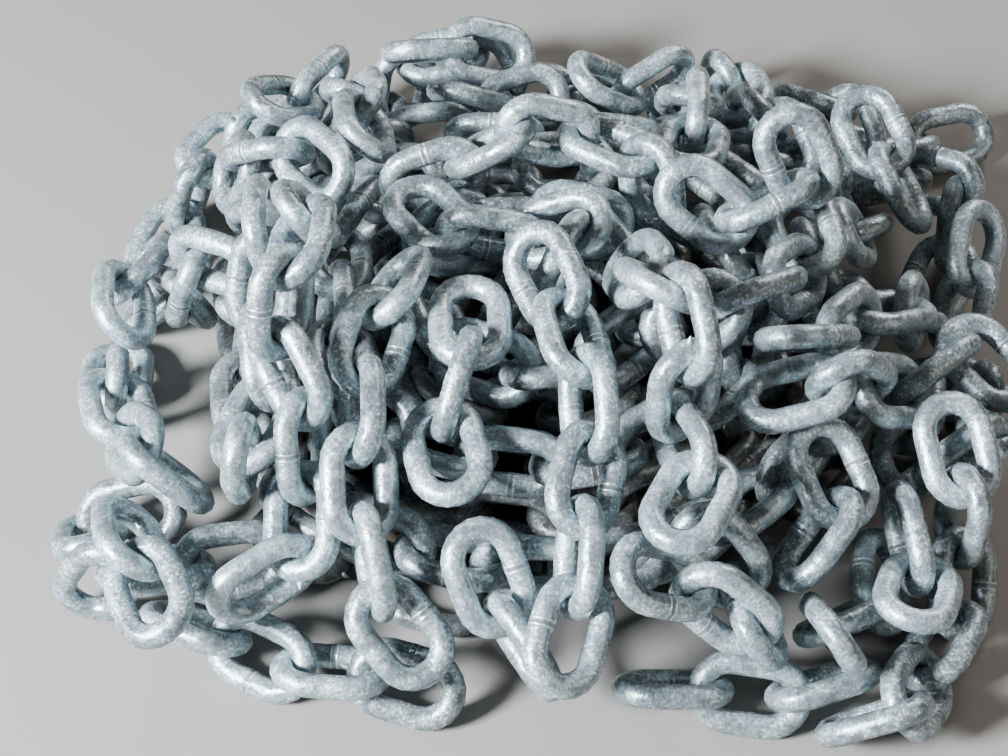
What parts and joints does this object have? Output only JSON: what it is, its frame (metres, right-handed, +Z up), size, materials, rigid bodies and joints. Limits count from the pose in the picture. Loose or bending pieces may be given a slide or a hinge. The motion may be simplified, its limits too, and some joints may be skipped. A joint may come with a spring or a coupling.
{
  "type": "heap of steel chain",
  "caption": "Loose heap of galvanised short link chain, piled in a low mound with strands falling down its sides to the floor.",
  "frame": {"origin": "on the floor, under the middle of the heap", "axes": "+Z up, +Y away from the front of the picture, +X to the right"},
  "size_m": [0.3861, 0.3496, 0.1296],
  "materials": {
    "galvanised_links": "hot dip galvanised, dull and mottled, with soft glints",
    "hidden_links": "galvanised links deep in the heap, dark with shade and dust"
  },
  "bodies": {
    "root": {"back_left": "galvanised_links", "back_left_fall": "galvanised_links", "back_right": "galvanised_links", "back_rim": "galvanised_links", "back_tail": "galvanised_links", "bed_lower": "galvanised_links", "bed_middle": "galvanised_links", "bed_upper": "galvanised_links", "centre_zigzag": "galvanised_links", "core": "hidden_links", "crest": "galvanised_links", "crest_back": "galvanised_links", "front_floor": "galvanised_links", "front_right_rim": "galvanised_links", "front_rings": "galvanised_links", "inner_left_fall": "galvanised_links", "left_back_rim": "galvanised_links", "left_corner": "galvanised_links", "left_edge": "galvanised_links", "left_fall": "galvanised_links", "left_fold": "galvanised_links", "left_shoulder": "galvanised_links", "long_left_fall": "galvanised_links", "middle_fall": "galvanised_links", "right_back_rim": "galvanised_links", "right_edge": "galvanised_links", "right_fall": "galvanised_links", "right_foot": "galvanised_links", "right_hook": "galvanised_links", "right_loop": "galvanised_links", "right_middle_fall": "galvanised_links", "right_rim": "galvanised_links", "right_shelf": "galvanised_links", "right_shoulder": "galvanised_links", "right_slope": "galvanised_links", "shoulder_bight": "galvanised_links"}
  },
  "joints": []
}
